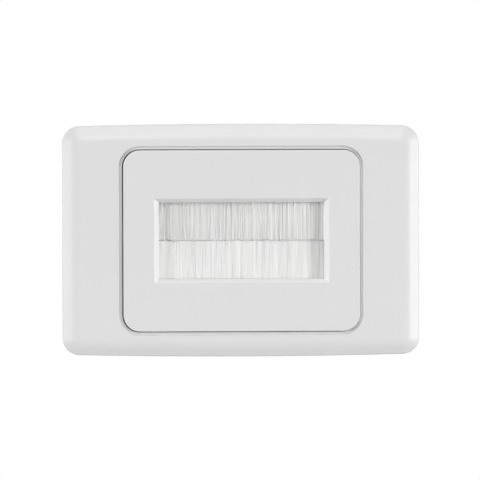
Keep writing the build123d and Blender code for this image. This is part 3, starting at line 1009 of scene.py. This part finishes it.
class WALLPLATE_OT_cover(bpy.types.Operator):
    """Build the clip-on cover with its rim, ledged opening, catches and rests"""

    bl_idname = "wall_plate.cover"
    bl_label = "Cover"

    def execute(self, context):
        settings = context.scene.wall_plate
        s = settings.cover
        base = settings.base
        half_width = span("surround_cover", 0) / 2
        half_height = span("surround_cover", 2) / 2
        base_half_width = span("base_plate", 0) / 2
        base_half_height = span("base_plate", 2) / 2
        sag = s.bow * (s.catch_spacing / 2 / half_width) ** 2
        collar_top = base.panel_height / 2 + s.opening_gap + s.collar_wall
        sizes = sizes_of(s, "wall catch_width catch_rear catch_front catch_spacing rest_thickness")
        sizes.update(sizes_of(s, "rest_length end_rest_reach end_rest_rise side_rest_spacing"))
        sizes.update(sizes_of(s, "notch_width notch_height"))
        sizes.update(
            end_wall=half_width - s.wall,
            end_tip=base_half_width - s.catch_grip,
            side_wall=half_height - s.wall - sag,
            side_tip=base_half_height - s.catch_grip,
            side_rest=(collar_top + base_half_height) / 2,
            deck=base.deck_front,
            ceiling=nearest_level("surround_cover") - s.wall,
            foot=farthest_level("surround_cover"),
            half_height=half_height,
            shift=middle_of("surround_cover").x,
        )
        white = white_plastic(settings.finish)
        cover = grown(skin("cover_moulding", cover_profiles(s)), white, sizes, cover_tree)
        settled(cover, white, "white_plastic", "surround_cover")
        return {"FINISHED"}


class WALLPLATE_OT_base(bpy.types.Operator):
    """Build the base: its raised panel with the bevelled window, its deck, skirt, bosses and ribs"""

    bl_idname = "wall_plate.base"
    bl_label = "Base"

    def execute(self, context):
        settings = context.scene.wall_plate
        s = settings.base
        cover = settings.cover
        sizes = sizes_of(s, "panel_width panel_height panel_side_wall panel_thickness wall deck_front")
        sizes.update(sizes_of(s, "rib_thickness rib_foot side_rib_pitch end_rib_spacing head_relief"))
        sizes.update(sizes_of(s, "screw_pitch slot_width slot_length slot_boss_wall boss_radius"))
        sizes.update(sizes_of(s, "pilot_radius pilot_end rail_wall rail_foot rail_length catch_clearance"))
        sizes.update(sizes_of(cover, "catch_width catch_front catch_grip catch_spacing collar_foot"))
        sizes.update(
            deck_middle=s.deck_front - s.deck_thickness / 2,
            half_width=span("base_plate", 0) / 2,
            half_height=span("base_plate", 2) / 2,
            bar_front=nearest_level("upper_clamp_bar"),
            panel_rear=nearest_level("base_plate") - s.panel_thickness,
            clamp_x=span("clamp_screws", 0) / 2 - settings.screw.head_radius,
            clamp_z=middle_of("upper_clamp_bar").z,
            rail_rise=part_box("upper_brush_channel")[1].z + settings.bar.groove_clearance,
        )
        white = white_plastic(settings.finish)
        base = grown(skin("base_moulding", [base_profile(s)]), white, sizes, base_tree)
        settled(base, white, "white_plastic", "base_plate")
        return {"FINISHED"}


class WALLPLATE_OT_bristles(bpy.types.Operator):
    """Build the two rows of bristles"""

    bl_idname = "wall_plate.bristles"
    bl_label = "Bristles"

    def execute(self, context):
        settings = context.scene.wall_plate
        s = settings.brush
        material = nylon("nylon filament", settings.finish.filament)
        rows = (
            ("upper", 1, 0.0, s.upper_lean, s.upper_spread, 1.0),
            ("lower", -1, math.pi, s.lower_lean, s.lower_spread, s.lower_calm),
        )
        for number, (row, side, turn, lean, spread, disorder) in enumerate(rows):
            sizes = sizes_of(s, "filaments filament_radius fold_radius fan_depth unevenness clump_pitch")
            sizes.update(
                seed=s.seed + number,
                length=span("upper_brush_channel", 0),
                brush_level=-middle_of("upper_brush_channel").y,
                mouth_rise=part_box("upper_brush_channel")[0].z,
                wire_rise=middle_of("upper_core_wire").z,
                tightest_fold=span("upper_core_wire", 2) / 2 + s.filament_radius + s.wire_clearance,
                tip_rise=side * s.tip_line,
                back_drop=side * s.layer_step,
                turn=turn,
                lean=lean,
                spread=spread,
                clump_pull=s.clump_pull * disorder,
                stray=s.stray * disorder,
                wave=s.wave * disorder,
            )
            filaments = grown(empty(f"{row}_filaments"), material, sizes, brush_tree)
            settled(filaments, material, "nylon_filament", f"{row}_bristles")
        return {"FINISHED"}


class WALLPLATE_OT_strips(bpy.types.Operator):
    """Build the folded channels and their core wires"""

    bl_idname = "wall_plate.strips"
    bl_label = "Channels and wires"

    def execute(self, context):
        finish = context.scene.wall_plate.finish
        metal = drawn_metal("channel metal", finish.channel, roughness=0.38)
        steel = drawn_metal("wire steel", finish.steel, roughness=0.32)
        for row in ("upper", "lower"):
            dressed(f"{row}_strip", f"{row}_brush_channel", STRIP_EDGE, metal, "channel_metal")
            dressed(f"{row}_wire", f"{row}_core_wire", WIRE_EDGE, steel, "wire_steel")
        return {"FINISHED"}


class WALLPLATE_OT_bars(bpy.types.Operator):
    """Build the two bars that clamp the brushes"""

    bl_idname = "wall_plate.bars"
    bl_label = "Clamp bars"

    def execute(self, context):
        settings = context.scene.wall_plate
        plastic = moulded("bar plastic", settings.finish.bar, roughness=0.5, grain=0.35)
        for row in ("upper", "lower"):
            dressed(f"{row}_bar", f"{row}_clamp_bar", settings.bar.edge_radius, plastic, "bar_plastic")
        return {"FINISHED"}


class WALLPLATE_OT_screws(bpy.types.Operator):
    """Build the four clamp screws"""

    bl_idname = "wall_plate.screws"
    bl_label = "Clamp screws"

    def execute(self, context):
        settings = context.scene.wall_plate
        s = settings.screw
        sizes = sizes_of(s, "seed recess_span recess_width recess_depth head_radius head_height")
        sizes.update(sizes_of(s, "shank_radius thread_pitch thread_depth"))
        sizes.update(
            bar_rear=farthest_level("upper_clamp_bar"),
            screw_end=nearest_level("clamp_screws"),
            clamp_x=span("clamp_screws", 0) / 2 - s.head_radius,
            clamp_z=middle_of("upper_clamp_bar").z,
        )
        material = drawn_metal("screw steel", settings.finish.steel, roughness=0.3)
        screws = grown(empty("bar_screws"), material, sizes, screw_tree)
        settled(screws, material, "screw_steel", "clamp_screws")
        return {"FINISHED"}


def white_plastic(finish):
    return moulded("white plastic", finish.plastic, roughness=0.34, grain=finish.grain)


def seen(nodes):
    """1 where the ray comes from the camera, straight or by way of gloss or glass."""
    path = nodes.add("ShaderNodeLightPath")
    camera, glossy, through = [Wire(nodes, path.socket.node.outputs[name]) for name in SEEN_RAYS]
    return camera.at_least(glossy).at_least(through)


def floor_material(radius, veil):
    """A pale floor that fades out towards its rim; the veil is how much white shows through it."""

    def build(nodes):
        across, along, up = nodes.parts(object_place(nodes))
        away = (across * across + along * along) ** 0.5 / radius
        shown = nodes.add(
            "ShaderNodeMapRange",
            {"interpolation_type": "SMOOTHSTEP"},
            {"Value": away, "From Min": FADE_START, "From Max": 1.0, "To Min": 1.0, "To Max": 0.0},
        )
        shown = shown * (1.0 - veil * seen(nodes))
        floor = nodes.add("ShaderNodeBsdfDiffuse", inputs={"Color": FLOOR_COLOUR})
        clear = nodes.add("ShaderNodeBsdfTransparent")
        return nodes.add("ShaderNodeMixShader", inputs={"Fac": shown, "Shader": clear, "Shader_001": floor})

    return finish_of("floor", build)


def add_light(name, turn, rise, size, power, target):
    """A soft light, a metre from the plate, at this turn to the right and this rise."""
    away = Vector((math.sin(turn) * math.cos(rise), -math.cos(turn) * math.cos(rise), math.sin(rise)))
    light = bpy.data.lights.new(name, "AREA")
    light.shape = "RECTANGLE"
    light.size, light.size_y = size
    light.energy = power
    obj = bpy.data.objects.new(name, light)
    obj.location = target + away
    obj.rotation_euler = away.to_track_quat("Z", "Y").to_euler()
    obj.visible_camera = False
    bpy.context.scene.collection.objects.link(obj)


class WALLPLATE_OT_stage(bpy.types.Operator):
    """Set up the floor, the light and the camera"""

    bl_idname = "wall_plate.stage"
    bl_label = "Stage"

    def execute(self, context):
        scene = context.scene
        s = scene.wall_plate.stage
        middle = middle_of("surround_cover")
        front = Vector((middle.x, -nearest_level("surround_cover"), middle.z))

        bpy.ops.mesh.primitive_circle_add(
            vertices=FLOOR_SIDES, radius=s.floor_radius, fill_type="NGON", location=(0, 0, 0)
        )
        floor = context.object
        floor.name = "floor"
        floor.data.transform(Matrix.Translation((0, 0, -s.floor_drop)))
        floor.data.materials.append(floor_material(s.floor_radius, s.floor_veil))

        lights = (
            ("front_key", 0, 30, WIDE_LIGHT, s.front_key),
            ("high_key", 0, 55, WIDE_LIGHT, s.high_key),
            ("left", -60, 0, TALL_LIGHT, s.left),
            ("far_left", -80, 0, TALL_LIGHT, s.far_left),
            ("right", 60, 0, TALL_LIGHT, s.right),
            ("far_right", 80, 0, TALL_LIGHT, s.far_right),
            ("top", 0, 80, WIDE_LIGHT, s.top),
            ("back_top", 180, 60, WIDE_LIGHT, s.back_top),
            ("back_left", -140, 10, SQUARE_LIGHT, s.back),
            ("back_right", 140, 10, SQUARE_LIGHT, s.back),
        )
        for name, turn, rise, size, power in lights:
            add_light(name, math.radians(turn), math.radians(rise), size, power, front)

        world = bpy.data.worlds.new("surroundings")
        world.use_nodes = True
        world.node_tree.nodes.clear()
        nodes = Nodes(world.node_tree)
        white = nodes.add("ShaderNodeBackground", inputs={"Color": WHITE, "Strength": 1.0})
        mix = nodes.add("ShaderNodeMixShader", inputs={"Fac": seen(nodes), "Shader_001": white})
        nodes.add("ShaderNodeOutputWorld", inputs={"Surface": mix}, output=None)
        scene.world = world

        camera = bpy.data.cameras.new("camera")
        camera.sensor_width = 36.0
        camera.lens = camera.sensor_width * s.distance / s.field
        camera.clip_start = 0.01
        camera.clip_end = 10.0
        obj = bpy.data.objects.new("camera", camera)
        aim = front + Vector((-s.aim_left, 0, s.aim_up))
        back = Vector((-math.sin(s.yaw), -math.cos(s.yaw), math.tan(s.rise))).normalized()
        obj.location = aim + back * s.distance
        turn = back.to_track_quat("Z", "Y").to_matrix().to_4x4() @ Matrix.Rotation(-s.roll, 4, "Z")
        obj.rotation_euler = turn.to_euler()
        scene.collection.objects.link(obj)
        scene.camera = obj
        scene.view_settings.view_transform = "Standard"
        return {"FINISHED"}


STEPS = (
    WALLPLATE_OT_cover,
    WALLPLATE_OT_base,
    WALLPLATE_OT_bristles,
    WALLPLATE_OT_strips,
    WALLPLATE_OT_bars,
    WALLPLATE_OT_screws,
    WALLPLATE_OT_stage,
)


class WALLPLATE_PT_panel(bpy.types.Panel):
    """The buttons that build the wall plate"""

    bl_idname = "WALLPLATE_PT_panel"
    bl_label = "Brush Wall Plate"
    bl_space_type = "VIEW_3D"
    bl_region_type = "UI"
    bl_category = "Wall Plate"

    def draw(self, context):
        for step in STEPS:
            self.layout.operator(step.bl_idname)


class WallPlateSettings(bpy.types.PropertyGroup):
    cover: PointerProperty(name="Cover", description="Sizes of the cover", type=CoverSettings)
    base: PointerProperty(name="Base", description="Sizes of the base", type=BaseSettings)
    brush: PointerProperty(name="Brush", description="Sizes of the bristles", type=BrushSettings)
    bar: PointerProperty(name="Bar", description="Sizes of the clamp bars", type=BarSettings)
    screw: PointerProperty(name="Screw", description="Sizes of the clamp screws", type=ScrewSettings)
    finish: PointerProperty(name="Finish", description="Colours", type=FinishSettings)
    stage: PointerProperty(name="Stage", description="Camera, lights and floor", type=StageSettings)


GROUPS = (CoverSettings, BaseSettings, BrushSettings, BarSettings, ScrewSettings, FinishSettings)
CLASSES = (*GROUPS, StageSettings, WallPlateSettings, *STEPS, WALLPLATE_PT_panel)


def register():
    for kind in CLASSES:
        bpy.utils.register_class(kind)
    bpy.types.Scene.wall_plate = PointerProperty(
        name="Wall plate", description="Sizes and finishes of the wall plate", type=WallPlateSettings
    )


def unregister():
    del bpy.types.Scene.wall_plate
    for kind in reversed(CLASSES):
        bpy.utils.unregister_class(kind)


def main():
    register()
    for step in STEPS:
        family, name = step.bl_idname.split(".")
        result = getattr(getattr(bpy.ops, family), name)()
        if result != {"FINISHED"}:
            raise RuntimeError(f"{step.bl_idname} didn't finish")


if __name__ == "__main__":
    main()
